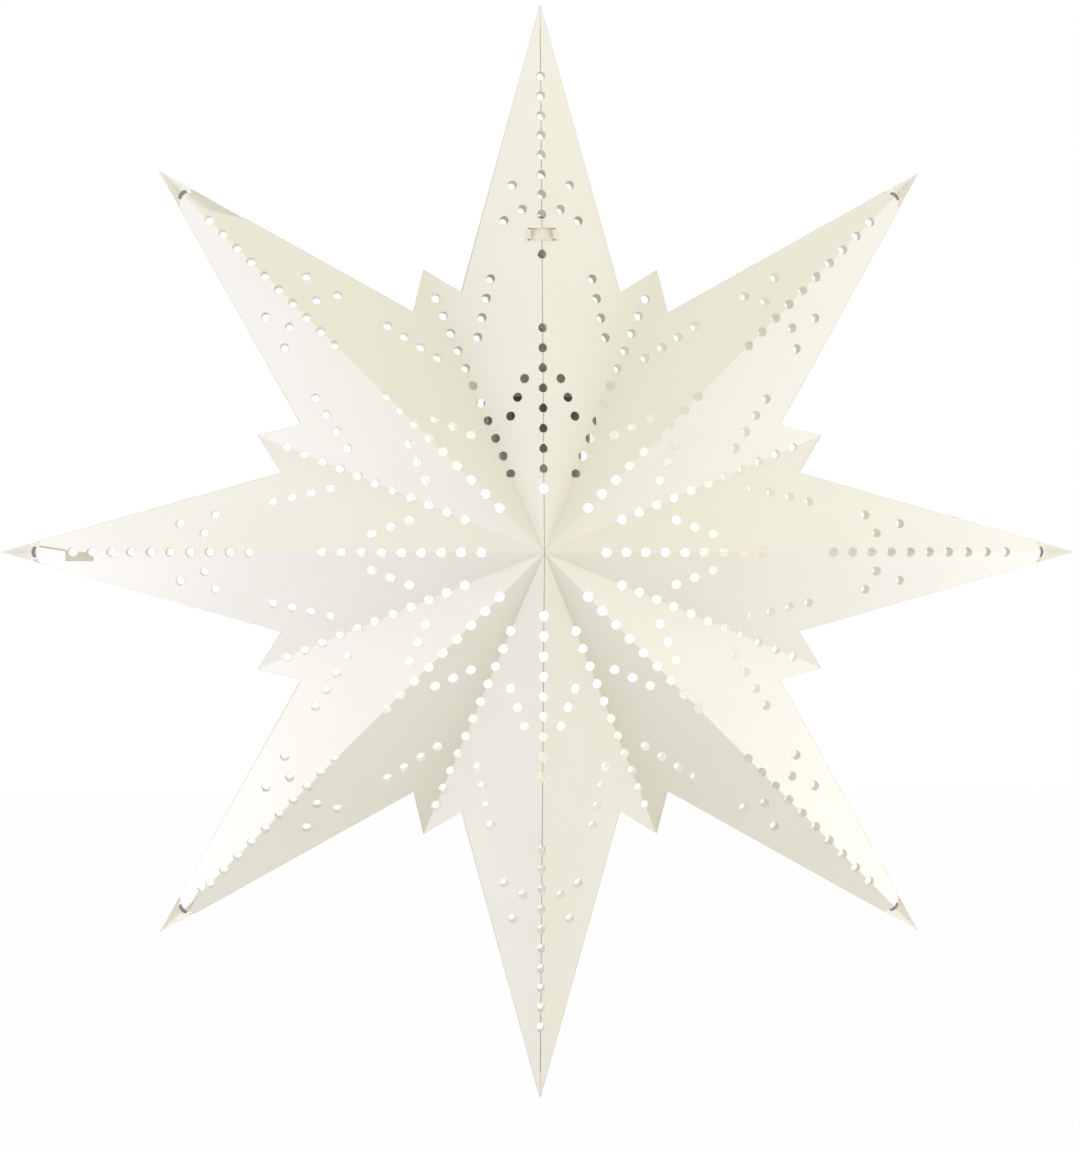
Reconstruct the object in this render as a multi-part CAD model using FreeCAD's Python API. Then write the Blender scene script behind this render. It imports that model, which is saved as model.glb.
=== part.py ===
import FreeCAD
import Part
import math
import os

os.makedirs("parts", exist_ok=True)
Vector = FreeCAD.Vector

# A folded and perforated metal star lamp with its lampholder and bulb inside.
# The star stands in the XZ plane and faces -Y, with +Z up and the origin at the middle of the star.

# Star outline, as seen from the front
arm_count = 8
tip_radius = 275.0
seam_tip_radius = 280.0
tooth_radius = 156.0
notch_radius = 137.4
notch_reach = 13.2
half_depth = 50.0

# Sheet and the gaps between the four panels
sheet = 0.5
seam_gap = 0.5
seam_lip_width = 3.0
seam_lip_clearance = 0.15
seam_lip_end_gap = 14.0
rim_gap = 0.1
overrun = 5.0

# Punched holes: starts are shares of the arm's length, along it and across it
hole_diameter = 5.0
hole_pitch = 10.16
outer_row_start_share = 0.5396
outer_row_end_gap = 12.0
inner_row_start_share = 0.1149
inner_row_end_gap = 35.0
valley_row_start_share = 0.1556
valley_row_end_gap = 12.0
triple_shares = [(0.6665, 0.0527), (0.6218, 0.0349), (0.6015, 0.0684)]
rim_row_start_shares = (0.4956, 0.0938)
rim_row_count = 4
rim_row_heading = 167.4
facet_row_start_shares = (0.3135, 0.0331)
facet_row_count = 3
facet_row_heading = 159.2

# Joint at each of the six tips away from the seam: a front tongue hooked through a rear slot.
# It sits where the arm has narrowed to the half width given first.
joint_half_width = 5.14
tongue_round = 8.0
tongue_half_width = 2.8
flap_length = 5.0
flap_clearance = 0.1
slot_clearance = 0.3
slot_round = 4.0
slot_inset = 1.3

# Cuts that let three of the tongues spring
slit_width = 1.0
slit_length = 12.6
slit_start_offset = 2.0
slit_end_offset = 0.9
slit_hook = 1.8
window_inset = 15.0
window_length = 14.6
window_depth = 4.6
line_slit_start_offset = 3.2
line_slit_end_offset = 0.9
gape_near = 1.9
gape_near_inset = 2.7
gape_bend = 3.5
gape_bend_inset = 14.5
gape_far = 14.0
gape_far_inset = 31.0

# Lock on the upper seam, and the bracket that clips into it
lock_row_index = 1
lock_half_width = 6.9
lock_half_height = 3.3
bracket_thickness = 1.0
bracket_half_width = 8.0
foot_half_width = 9.6
foot_half_height = 6.0
foot_clearance = 0.1
hook_half_height = 2.4
hook_inner = 5.5
hook_outer = 6.5
lip_outer = 8.6
lip_thickness = 0.5
tube_hole_clearance = 0.15

# Rear service opening: a large circle that tapers up the arm to a small one
opening_low_height = 42.5
opening_round = 31.5
opening_top_gap = 15.266
opening_top_round = 8.0
opening_margin = 2.0

# Cord hole in the rear seam and its rubber grommet
cord_row_index = 4
cord_hole_diameter = 9.0
grommet_diameter = 12.5
grommet_core_clearance = 0.1
cord_bore_diameter = 6.5
grommet_lip = 1.3
grommet_face_clearance = 0.05

# Threaded tube and its two nuts
tube_diameter = 10.0
tube_bore_diameter = 7.6
tube_seat_depth = 2.0
tube_above_bracket = 10.0
nut_across_flats = 14.0
nut_height = 3.0
nut_clearance = 0.05

# Lampholder: its lower end on the lamp's axis, and the lengths stacked on it
skirt_bottom_height = 38.0
skirt_below_collar = 17.5
collar_thickness = 5.5
ring_length = 16.0
cap_above_ring = 2.0
cap_side = 14.0
cap_crown_rise = 10.5
cap_collar_rise = 3.5
skirt_neck_length = 7.0

# Lampholder radii and walls
skirt_radius = 21.0
skirt_wall = 3.2
skirt_neck_radius = 18.8
collar_radius = 25.5
ring_thread_radius = 21.5
ring_thread_pitch = 3.6
ring_thread_count = 4
cap_wall = 2.0
cap_crown_radius = 12.0
cap_collar_radius = 8.6
boss_depth = 8.5
cap_mouth_clearance = 0.2
grub_radius = 1.5
grub_clearance = 0.05

# Shade ring
ring_radius = 28.8
ring_seat_clearance = 0.2
ring_bore_clearance = 0.3
ring_wall = 3.0
ring_web = 3.0
grip_count = 30
grip_radius = 0.9

# Insulating core, lamp thread and contacts
core_radius = 17.4
core_bottom_height = 68.0
core_top_height = 84.0
core_step_height = 80.0
core_step_radius = 15.0
terminal_spacing = 14.0
terminal_width = 6.0
terminal_depth = 8.0
terminal_height = 7.0
terminal_seat = 4.0
terminal_wire_bore = 1.3
terminal_screw_radius = 1.4
terminal_head_radius = 2.4
terminal_head_height = 1.8
terminal_screw_stand = 1.0
core_pocket_clearance = 0.1
sleeve_inner_radius = 13.45
sleeve_wall = 0.4
sleeve_bottom_height = 42.0
contact_thickness = 0.4
contact_width = 6.0
contact_rivet_offset = 8.5
contact_gap = 0.1
side_contact_width = 5.0
sleeve_hole_radius = 10.6

# Bulb
bulb_cap_radius = 13.1
bulb_thread_depth = 0.8
bulb_thread_pitch = 3.6
bulb_thread_count = 5
bulb_cap_wall = 0.3
bulb_cap_bottom_height = 39.5
bulb_cap_top_height = 60.0
bulb_insulator_top_height = 64.0
bulb_insulator_top_radius = 6.0
bulb_tip_radius = 4.6
bulb_tip_height = 1.3
globe_radius = 30.0
globe_centre_height = -14.0
glass_neck_radius = 11.6
glass_rim_height = 47.0
glass_wall = 0.8
glass_cap_gap = 1.0
glass_shoulder_radius = 14.4
glass_shoulder_height = 30.0
glass_waist_radius = 20.6
glass_waist_height = 14.0
globe_join_angle = 28.0
stem_clearance = 0.3
stem_flare_height = 43.0
stem_bottom_height = 8.0
stem_radius = 3.0
filament_count = 4
filament_radius = 1.0
filament_length = 30.0
filament_circle_radius = 9.0
filament_wire_radius = 0.4
filament_wire_seat = 2.0

# Values worked out from the sizes above
half_sector = math.pi / arm_count
notch_along = notch_radius * math.cos(half_sector) + notch_reach * math.sin(half_sector)
notch_across = notch_radius * math.sin(half_sector) - notch_reach * math.cos(half_sector)
tongue_end_radius = tip_radius - joint_half_width * (tip_radius - notch_along) / notch_across
slot_centre_radius = tongue_end_radius - slot_inset
window_outer_radius = tongue_end_radius - window_inset
window_inner_radius = window_outer_radius - window_length
collar_bottom_height = skirt_bottom_height + skirt_below_collar
collar_top_height = collar_bottom_height + collar_thickness
ring_top_height = collar_top_height + ring_length
cap_bottom_height = ring_top_height + cap_above_ring
skirt_top_height = cap_bottom_height + skirt_neck_length
cap_shoulder_height = cap_bottom_height + cap_side
cap_top_height = cap_shoulder_height + cap_crown_rise
cap_collar_top_height = cap_top_height + cap_collar_rise
boss_bottom_height = cap_top_height - boss_depth
tube_bottom_height = boss_bottom_height + tube_seat_depth
hole_radius = hole_diameter / 2
ridge_angle = math.atan(half_depth / tip_radius)
plan_pitch = hole_pitch * math.cos(ridge_angle)
valley_fall = half_depth / tooth_radius
valley_plan_pitch = hole_pitch * math.cos(math.atan(valley_fall))
ridge_fall = half_depth / tip_radius
cross_fall = (valley_fall - ridge_fall * math.cos(half_sector)) / math.sin(half_sector)
sheet_across = sheet * math.sqrt(1 + ridge_fall ** 2 + cross_fall ** 2)
fold_depth = half_depth - rim_gap / 2 - sheet_across


class Facet:
    """One flat face between a ridge and a valley, in its arm's own directions."""

    def __init__(self, arm, turn, side):
        self.side = side
        self.length = seam_tip_radius if arm in (0, arm_count // 2) else tip_radius
        self.stretch = self.length / tip_radius
        angle = 2 * half_sector * arm
        self.along = Vector(math.sin(angle), 0, math.cos(angle))
        self.across = Vector(math.cos(angle), 0, -math.sin(angle)) * turn
        self.fall = fold_depth / self.length
        valley = fold_depth / tooth_radius
        self.cross = (valley - self.fall * math.cos(half_sector)) / math.sin(half_sector)

    def point(self, u, v, lift=0.0):
        """A point of the inner face, u along the arm and v across it, lifted outwards."""
        depth = rim_gap / 2 + fold_depth - self.fall * u - self.cross * v + lift
        return self.along * u + self.across * v + Vector(0, self.side * depth, 0)

    def normal(self):
        """Outward direction of the face."""
        lean = self.along * self.fall + self.across * self.cross
        return (lean + Vector(0, self.side, 0)).normalize()

    def prism(self, outline, lift, thickness):
        """A plate on the outline, from lift above the inner face and so thick along Y."""
        corners = [self.point(u, v, lift) for u, v in outline]
        face = Part.Face(Part.makePolygon(corners + corners[:1]))
        return face.extrude(Vector(0, self.side * thickness, 0))

    def outline(self):
        """Apex, arm tip, notch corner and tooth tip."""
        run = Vector(math.cos(half_sector), math.sin(half_sector), 0)
        step = Vector(math.sin(half_sector), -math.cos(half_sector), 0)
        notch = run * notch_radius + step * notch_reach
        tooth = run * tooth_radius
        return [(0.0, 0.0), (self.length, 0.0), (notch.x, notch.y), (tooth.x, tooth.y)]

    def punch(self, u, v, radius):
        """Punch through the sheet, square to this face."""
        start = self.point(u, v, sheet_across / 2) - self.normal() * (overrun / 2)
        return Part.makeCylinder(radius, overrun, start, self.normal())


def row(start, count, heading):
    """Hole places from start on, one pitch apart, turned from the arm's direction."""
    step_u = plan_pitch * math.cos(math.radians(heading))
    step_v = plan_pitch * math.sin(math.radians(heading))
    return [(start[0] + i * step_u, start[1] + i * step_v) for i in range(count)]


def shared(shares):
    """A place given as shares of the arm's length."""
    return (shares[0] * tip_radius, shares[1] * tip_radius)


def fitting(start, end, pitch):
    """How many holes fit from start to end."""
    return int((end - start) / pitch) + 1


def ridge_places():
    """Places of the outer and the inner row on the ridge."""
    start = outer_row_start_share * tip_radius
    outer = row((start, 0.0), fitting(start, tongue_end_radius - outer_row_end_gap, plan_pitch), 0)
    near = inner_row_start_share * tip_radius
    inner = row((near, 0.0), fitting(near, start - inner_row_end_gap, plan_pitch), 0)
    return outer, inner


def seam_height(index):
    """Height of a hole of the outer row on the upper seam, counted from the inside."""
    return ridge_places()[0][index][0] * seam_tip_radius / tip_radius


lock_height = seam_height(lock_row_index)
cord_height = seam_height(cord_row_index)
opening_top_height = lock_height - foot_half_height - opening_top_gap


def opening_centre_height():
    """Height of the service opening's large circle."""
    return opening_low_height + opening_round


def opening_half_width(z):
    """Half the width of the service opening at a height, or nothing outside it."""
    low = opening_centre_height()
    high = opening_top_height - opening_top_round
    lean = math.asin((opening_round - opening_top_round) / (high - low))
    low_join = low + opening_round * math.sin(lean)
    high_join = high + opening_top_round * math.sin(lean)
    if z <= low_join:
        return math.sqrt(max(opening_round ** 2 - (z - low) ** 2, 0.0))
    if z >= high_join:
        return math.sqrt(max(opening_top_round ** 2 - (z - high) ** 2, 0.0))
    share = (z - low_join) / (high_join - low_join)
    wide = opening_round * math.cos(lean)
    narrow = opening_top_round * math.cos(lean)
    return wide + share * (narrow - wide)


def near_opening(place):
    """Whether a hole would touch the service opening or leave a thin strip beside it."""
    reach = hole_radius + opening_margin
    heights = [place.z - reach, place.z, place.z + reach]
    for z in heights:
        width = opening_half_width(z)
        if width > 0 and abs(place.x) < width + reach:
            return True
    return False


def facet_places(arm, rear):
    """All hole places of one face, without those that another feature takes."""
    outer, inner = ridge_places()
    if arm == 0:
        taken = {lock_row_index}
        if rear:
            taken.add(cord_row_index)
        outer = [place for i, place in enumerate(outer) if i not in taken]
    places = outer + inner
    places += [shared(shares) for shares in triple_shares]
    places += row(shared(rim_row_start_shares), rim_row_count, rim_row_heading)
    places += row(shared(facet_row_start_shares), facet_row_count, facet_row_heading)
    return places


def valley_places():
    """Places of the holes along the valley fold."""
    start = valley_row_start_share * tip_radius
    count = fitting(start, tooth_radius - valley_row_end_gap, valley_plan_pitch)
    run = [start + i * valley_plan_pitch for i in range(count)]
    return [(r * math.cos(half_sector), r * math.sin(half_sector)) for r in run]


def folded_face(arm, turn, side):
    """One perforated face of a panel."""
    facet = Facet(arm, turn, side)
    plate = facet.prism(facet.outline(), 0.0, sheet_across)
    places = [(u * facet.stretch, v) for u, v in facet_places(arm, side > 0)]
    places += valley_places()
    if side > 0:
        places = [(u, v) for u, v in places if not near_opening(facet.point(u, v))]
    return plate.cut(Part.makeCompound([facet.punch(u, v, hole_radius) for u, v in places]))


def seam_lip(side):
    """A folded strip inside the right half that lies behind the seam, punched with the sheet."""
    middle = arm_count // 2
    width = seam_lip_width
    tip = seam_tip_radius - seam_lip_end_gap
    outline = [(0.0, 0.0), (tip, 0.0), (tip - width, width), (0.0, width)]
    strips = []
    for arm, outward in ((0, 1), (middle, -1)):
        outer = [(u, 0.0) for u, v in facet_places(arm, side > 0) if v == 0]
        for turn in (-1, 1):
            facet = Facet(arm, turn, side)
            thick = sheet_across
            if turn == outward:
                thick = sheet_across + seam_lip_clearance
            strip = facet.prism(outline, -seam_lip_clearance - sheet_across, thick)
            holes = [facet.punch(u * facet.stretch, v, hole_radius) for u, v in outer]
            strips.append(strip.cut(Part.makeCompound(holes)))
    lip = strips[0].fuse(strips[1:])
    reach = foot_half_height + seam_lip_clearance
    corners = rectangle(lock_height - reach, lock_height + reach, -2 * width, 2 * width)
    low, high = sorted((0, side * half_depth))
    lip = lip.cut(y_block(0, corners, low, high))
    if side > 0:
        around = grommet_diameter / 2 + seam_lip_clearance
        lip = lip.cut(y_column(0, cord_height, around, 0, half_depth))
    return lip


def half_star(side):
    """The right-hand half of the front or rear of the star, with its seam edge trimmed."""
    middle = arm_count // 2
    faces = [folded_face(0, 1, side)]
    for arm in range(1, middle):
        faces.append(folded_face(arm, -1, side))
        faces.append(folded_face(arm, 1, side))
    faces.append(folded_face(middle, -1, side))
    half = faces[0].fuse(faces[1:])
    depth = half_depth + overrun
    height = seam_tip_radius + overrun
    seam = Part.makeBox(seam_gap, 2 * depth, 2 * height, Vector(-seam_gap / 2, -depth, -height))
    return half.cut(seam).removeSplitter()


def mirrored(shape):
    """The same shape on the other side of the seam."""
    return shape.mirror(Vector(0, 0, 0), Vector(1, 0, 0))


def along_arm(arm, u, v):
    """A place in the star's plane, u along an arm and v clockwise across it."""
    facet = Facet(arm, 1, 1)
    return facet.along * u + facet.across * v


def y_column(arm, u, radius, low, high):
    """A round column along Y at a place on an arm."""
    base = along_arm(arm, u, 0.0) + Vector(0, low, 0)
    return Part.makeCylinder(radius, high - low, base, Vector(0, 1, 0))


def y_block(arm, corners, low, high):
    """A straight-sided column along Y on corners given along and across an arm."""
    points = [along_arm(arm, u, v) + Vector(0, low, 0) for u, v in corners]
    face = Part.Face(Part.makePolygon(points + points[:1]))
    return face.extrude(Vector(0, high - low, 0))


def rectangle(u_low, u_high, v_low, v_high):
    """Corners of a rectangle along and across an arm."""
    return [(u_low, v_low), (u_high, v_low), (u_high, v_high), (u_low, v_high)]


def round_front_tip(panel, arm):
    """Cut a front tip back to a rounded end."""
    centre = tongue_end_radius - tongue_round
    wide = tongue_round + overrun
    depth = half_depth
    beyond = y_block(arm, rectangle(centre, tip_radius + overrun, -wide, wide), -depth, depth)
    beyond = beyond.cut(y_column(arm, centre, tongue_round, -depth, depth))
    return panel.cut(beyond)


def tongue(arm):
    """The strip that turns back from a front tip through the rear slot, and is bent over there."""
    centre = tongue_end_radius - tongue_round
    rear_face = Facet(arm, 1, 1).point(centre, 0.0, sheet_across).y + flap_clearance
    low, high = -rear_face - overrun, rear_face + sheet
    band = y_column(arm, centre, tongue_round, low, high)
    band = band.cut(y_column(arm, centre, tongue_round - sheet, low, high))
    keep = rectangle(centre, tip_radius, -tongue_half_width, tongue_half_width)
    band = band.common(y_block(arm, keep, low, high))
    for turn in (-1, 1):
        facet = Facet(arm, turn, -1)
        band = band.cut(facet.prism(facet.outline(), sheet_across, 2 * overrun))
    reach = rectangle(centre, tongue_end_radius + flap_length, -tongue_half_width, tongue_half_width)
    flap = y_block(arm, reach, rear_face, high)
    flap = flap.cut(y_column(arm, centre, tongue_round - sheet, rear_face, high))
    return band.fuse(flap)


def crescent_slot(arm):
    """The rear slot that the tongue hooks into."""
    centre = tongue_end_radius - tongue_round
    near = tongue_round - sheet - slot_clearance
    slot = y_column(arm, slot_centre_radius, slot_round, 0, half_depth)
    return slot.cut(y_column(arm, centre, near, 0, half_depth))


def slanted_slit(arm, start, end, length):
    """A slit from the tongue's end inwards, from one offset beside the ridge to the other."""
    half = slit_width / 2
    lean = (start - end) / length
    beyond = start + lean * overrun
    inner = tongue_end_radius - length
    outer = tongue_end_radius + overrun
    corners = [(inner, end - half), (outer, beyond - half), (outer, beyond + half), (inner, end + half)]
    return y_block(arm, corners, -half_depth, 0)


def lower_left_slit(arm):
    """A slit that crosses the ridge and ends in a short hook."""
    slit = slanted_slit(arm, -slit_start_offset, slit_end_offset, slit_length)
    inner = tongue_end_radius - slit_length
    side = rectangle(inner, inner + slit_width, slit_end_offset - slit_width / 2, slit_end_offset + slit_hook)
    return slit.fuse(y_block(arm, side, -half_depth, 0))


def left_window(arm):
    """A sprung slit that ends in a window beside the ridge."""
    slit = slanted_slit(arm, line_slit_start_offset, line_slit_end_offset, window_inset)
    sides = rectangle(window_inner_radius, window_outer_radius, -window_depth, 0.0)
    window = y_block(arm, sides, -half_depth, 0)
    turn = rectangle(window_outer_radius - slit_width, window_outer_radius, 0.0, line_slit_end_offset)
    return slit.fuse([window, y_block(arm, turn, -half_depth, 0)])


def upper_left_gape(arm):
    """The side of a tongue that stands open towards the rim."""
    outer = tongue_end_radius + overrun
    corners = [
        (outer, gape_near),
        (tongue_end_radius - gape_near_inset, gape_near),
        (tongue_end_radius - gape_bend_inset, gape_bend),
        (tongue_end_radius - gape_far_inset, gape_far),
        (outer, gape_far),
    ]
    return y_block(arm, corners, -half_depth, 0)


def lock_window(side):
    """The slot in the upper seam that the bracket clips into."""
    corners = rectangle(
        lock_height - lock_half_height,
        lock_height + lock_half_height,
        -lock_half_width,
        lock_half_width,
    )
    low, high = sorted((0, side * half_depth))
    return y_block(0, corners, low, high)


def front_panel(half, arms, reliefs):
    """A front panel with tongues at its three joined tips."""
    panel = half.cut(lock_window(-1))
    for arm in arms:
        panel = round_front_tip(panel, arm)
        if arm in reliefs:
            panel = panel.cut(reliefs[arm](arm))
        panel = panel.fuse(tongue(arm))
    return panel.removeSplitter()


def service_opening():
    """The tapered opening in the rear of the upper arm."""
    low = opening_centre_height()
    high = opening_top_height - opening_top_round
    lean = math.asin((opening_round - opening_top_round) / (high - low))
    wide = opening_round * math.cos(lean)
    narrow = opening_top_round * math.cos(lean)
    low_join = low + opening_round * math.sin(lean)
    high_join = high + opening_top_round * math.sin(lean)
    right_low, left_low = Vector(wide, 0, low_join), Vector(-wide, 0, low_join)
    right_high, left_high = Vector(narrow, 0, high_join), Vector(-narrow, 0, high_join)
    edges = [
        Part.Arc(left_low, Vector(0, 0, opening_low_height), right_low).toShape(),
        Part.makeLine(right_low, right_high),
        Part.Arc(right_high, Vector(0, 0, opening_top_height), left_high).toShape(),
        Part.makeLine(left_high, left_low),
    ]
    return Part.Face(Part.Wire(edges)).extrude(Vector(0, half_depth, 0))


def rear_panel(half, arms):
    """A rear panel with crescent slots, half the service opening and half the cord hole."""
    panel = half.cut(lock_window(1))
    panel = panel.cut(service_opening())
    panel = panel.cut(y_column(0, cord_height, cord_hole_diameter / 2, 0, half_depth))
    for arm in arms:
        panel = panel.cut(crescent_slot(arm))
    return panel.removeSplitter()


def ring(outer, inner, low, high):
    """A round tube or disc about the lamp's axis."""
    body = Part.makeCylinder(outer, high - low, Vector(0, 0, low))
    if inner > 0:
        body = body.cut(Part.makeCylinder(inner, high - low, Vector(0, 0, low)))
    return body


def revolved(outline):
    """A turned solid about the lamp's axis from radius and height pairs."""
    points = [Vector(r, 0, z) for r, z in outline]
    face = Part.Face(Part.makePolygon(points + points[:1]))
    return face.revolve(Vector(0, 0, 0), Vector(0, 0, 1), 360)


def bracket_foot(side):
    """A saddle inside the ridge, with hooks through the lock window and lips outside it."""
    thick = bracket_thickness * sheet_across / sheet
    low, high = lock_height - foot_half_height, lock_height + foot_half_height
    lip_low = sheet_across + foot_clearance
    pieces = []
    for turn in (-1, 1):
        facet = Facet(0, turn, side)
        saddle = rectangle(low, high, 0.0, foot_half_width)
        pieces.append(facet.prism(saddle, -foot_clearance - thick, thick))
        near, far = lock_height - hook_half_height, lock_height + hook_half_height
        shank = rectangle(near, far, hook_inner, hook_outer)
        pieces.append(facet.prism(shank, -foot_clearance - thick, thick + foot_clearance + lip_low))
        lip = rectangle(near, far, hook_inner, lip_outer)
        pieces.append(facet.prism(lip, lip_low, lip_thickness))
    return pieces[0].fuse(pieces[1:])


def hanger_bracket():
    """A flat bar with a tube hole, and a clipped foot at each seam."""
    thick = bracket_thickness * sheet_across / sheet
    facet = Facet(0, 1, 1)
    middle = facet.point(lock_height, 0.0, -foot_clearance - thick / 2).y
    edge = facet.point(lock_height, bracket_half_width, -foot_clearance - thick / 2).y
    low = lock_height - bracket_thickness / 2
    half = [(bracket_half_width, -edge), (bracket_half_width, edge), (0.0, middle)]
    corners = half + [(-x, -y) for x, y in half]
    points = [Vector(x, y, low) for x, y in corners]
    face = Part.Face(Part.makePolygon(points + points[:1]))
    bar = face.extrude(Vector(0, 0, bracket_thickness))
    whole = bar.fuse([bracket_foot(-1), bracket_foot(1)])
    hole = tube_diameter / 2 + tube_hole_clearance
    return whole.cut(ring(hole, 0, low - overrun, low + overrun)).removeSplitter()


def threaded_tube():
    """The tube that carries the lampholder and lets the cord through."""
    top = lock_height + tube_above_bracket
    return ring(tube_diameter / 2, tube_bore_diameter / 2, tube_bottom_height, top)


def tube_nut(low):
    """A hexagon nut about the tube."""
    corner = nut_across_flats / 2 / math.cos(math.pi / 6)
    turns = [math.pi / 3 * i for i in range(6)]
    points = [Vector(corner * math.cos(a), corner * math.sin(a), low) for a in turns]
    body = Part.Face(Part.makePolygon(points + points[:1])).extrude(Vector(0, 0, nut_height))
    return body.cut(ring(tube_diameter / 2 + nut_clearance, 0, low, low + nut_height))


def tube_nuts():
    """One nut above the bracket's bar and one below it."""
    above = tube_nut(lock_height + bracket_thickness / 2)
    below = tube_nut(lock_height - bracket_thickness / 2 - nut_height)
    return Part.makeCompound([above, below])


def cord_grommet():
    """A rubber bush that follows the fold, with a lip on each side of the sheet."""
    facet = Facet(0, 1, 1)
    reach = grommet_diameter / 2
    high = facet.point(cord_height - reach, 0.0, sheet_across).y + grommet_lip
    low = facet.point(cord_height + reach, reach).y - grommet_lip
    bush = y_column(0, cord_height, reach, low, high)
    lift = -grommet_face_clearance
    slab = sheet_across + 2 * grommet_face_clearance
    wide = grommet_diameter
    for turn in (-1, 1):
        face = Facet(0, turn, 1)
        patch = rectangle(cord_height - wide, cord_height + wide, 0.0, wide)
        groove = face.prism(patch, lift, slab)
        core = cord_hole_diameter / 2 - grommet_core_clearance
        bush = bush.cut(groove.cut(y_column(0, cord_height, core, 0, half_depth)))
    return bush.cut(y_column(0, cord_height, cord_bore_diameter / 2, 0, half_depth))


def holder_cap():
    """The domed cap of the lampholder, with the boss that the tube screws into."""
    hole = tube_diameter / 2 + nut_clearance
    inner = skirt_radius - cap_wall
    outline = [
        (inner, cap_bottom_height),
        (skirt_radius, cap_bottom_height),
        (skirt_radius, cap_shoulder_height),
        (cap_crown_radius, cap_top_height),
        (cap_collar_radius, cap_top_height),
        (cap_collar_radius, cap_collar_top_height),
        (hole, cap_collar_top_height),
        (hole, boss_bottom_height),
        (cap_collar_radius, boss_bottom_height),
        (cap_collar_radius, cap_top_height - cap_wall),
        (cap_crown_radius - cap_wall / 2, cap_top_height - cap_wall),
        (inner, cap_shoulder_height - cap_wall / 2),
    ]
    grub_hole = grub_column(grub_radius + grub_clearance, 0, cap_collar_radius + overrun)
    return revolved(outline).cut(grub_hole)


def grub_column(radius, start, end):
    """A column along X in the cap's collar."""
    height = (cap_top_height + cap_collar_top_height) / 2
    return Part.makeCylinder(radius, end - start, Vector(start, 0, height), Vector(1, 0, 0))


def cap_lock_screw():
    """The grub screw that stops the cap turning on the tube."""
    start = tube_diameter / 2
    screw = grub_column(grub_radius, start, cap_collar_radius)
    slot_depth = grub_radius / 2
    slot_width = grub_radius / 3
    height = (cap_top_height + cap_collar_top_height) / 2
    corner = Vector(cap_collar_radius - slot_depth, -slot_width / 2, height - grub_radius)
    return screw.cut(Part.makeBox(slot_depth, slot_width, 2 * grub_radius, corner))


def holder_skirt():
    """The lower shell of the lampholder, with its collar and the ring's thread."""
    inner = skirt_radius - skirt_wall
    outline = [
        (inner, skirt_bottom_height),
        (skirt_radius, skirt_bottom_height),
        (skirt_radius, collar_bottom_height),
        (collar_radius, collar_bottom_height),
        (collar_radius, collar_top_height),
        (skirt_radius, collar_top_height),
    ]
    start = collar_top_height + ring_thread_pitch / 2
    for i in range(ring_thread_count):
        low = start + i * ring_thread_pitch
        crest = low + ring_thread_pitch / 2
        outline += [(skirt_radius, low), (ring_thread_radius, crest)]
        outline += [(skirt_radius, low + ring_thread_pitch * 0.9)]
    outline += [
        (skirt_radius, cap_bottom_height - cap_mouth_clearance),
        (skirt_neck_radius, cap_bottom_height - cap_mouth_clearance),
        (skirt_neck_radius, skirt_top_height),
        (inner, skirt_top_height),
    ]
    return revolved(outline)


def shade_ring():
    """The ring that screws on above the collar, with grip grooves round it."""
    low = collar_top_height + ring_seat_clearance
    bore = ring_thread_radius + ring_bore_clearance
    outline = [
        (bore, low),
        (ring_radius, low),
        (ring_radius, ring_top_height),
        (ring_radius - ring_wall, ring_top_height),
        (ring_radius - ring_wall, low + ring_web),
        (bore + ring_wall, low + ring_web),
        (bore + ring_wall, ring_top_height),
        (bore, ring_top_height),
    ]
    grooves = []
    for i in range(grip_count):
        turn = 2 * math.pi * i / grip_count
        place = Vector(ring_radius * math.cos(turn), ring_radius * math.sin(turn), low)
        grooves.append(Part.makeCylinder(grip_radius, ring_top_height - low, place))
    return revolved(outline).cut(Part.makeCompound(grooves))


def terminal_box(sign, grow):
    """The space of one terminal block in the top of the core."""
    low = core_top_height - terminal_seat - grow
    size_x, size_y = terminal_width + 2 * grow, terminal_depth + 2 * grow
    corner = Vector(sign * terminal_spacing / 2 - size_x / 2, -size_y / 2, low)
    return Part.makeBox(size_x, size_y, terminal_height + 2 * grow, corner)


def holder_core():
    """The insulating core that carries the contacts and terminals."""
    core = ring(core_radius, 0, core_bottom_height, core_step_height)
    core = core.fuse(ring(core_step_radius, 0, core_step_height, core_top_height))
    for sign in (-1, 1):
        core = core.cut(terminal_box(sign, core_pocket_clearance))
    return core.removeSplitter()


def terminals():
    """Two brass terminal blocks, each with a wire hole and a screw hole."""
    blocks = []
    for sign in (-1, 1):
        block = terminal_box(sign, 0)
        x = sign * terminal_spacing / 2
        top = core_top_height - terminal_seat + terminal_height
        wire = Vector(x, -terminal_depth, core_top_height + terminal_wire_bore)
        block = block.cut(Part.makeCylinder(terminal_wire_bore, 2 * terminal_depth, wire, Vector(0, 1, 0)))
        screw = terminal_screw_radius + nut_clearance
        block = block.cut(Part.makeCylinder(screw, overrun, Vector(x, 0, top - terminal_head_height)))
        blocks.append(block)
    return Part.makeCompound(blocks)


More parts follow.
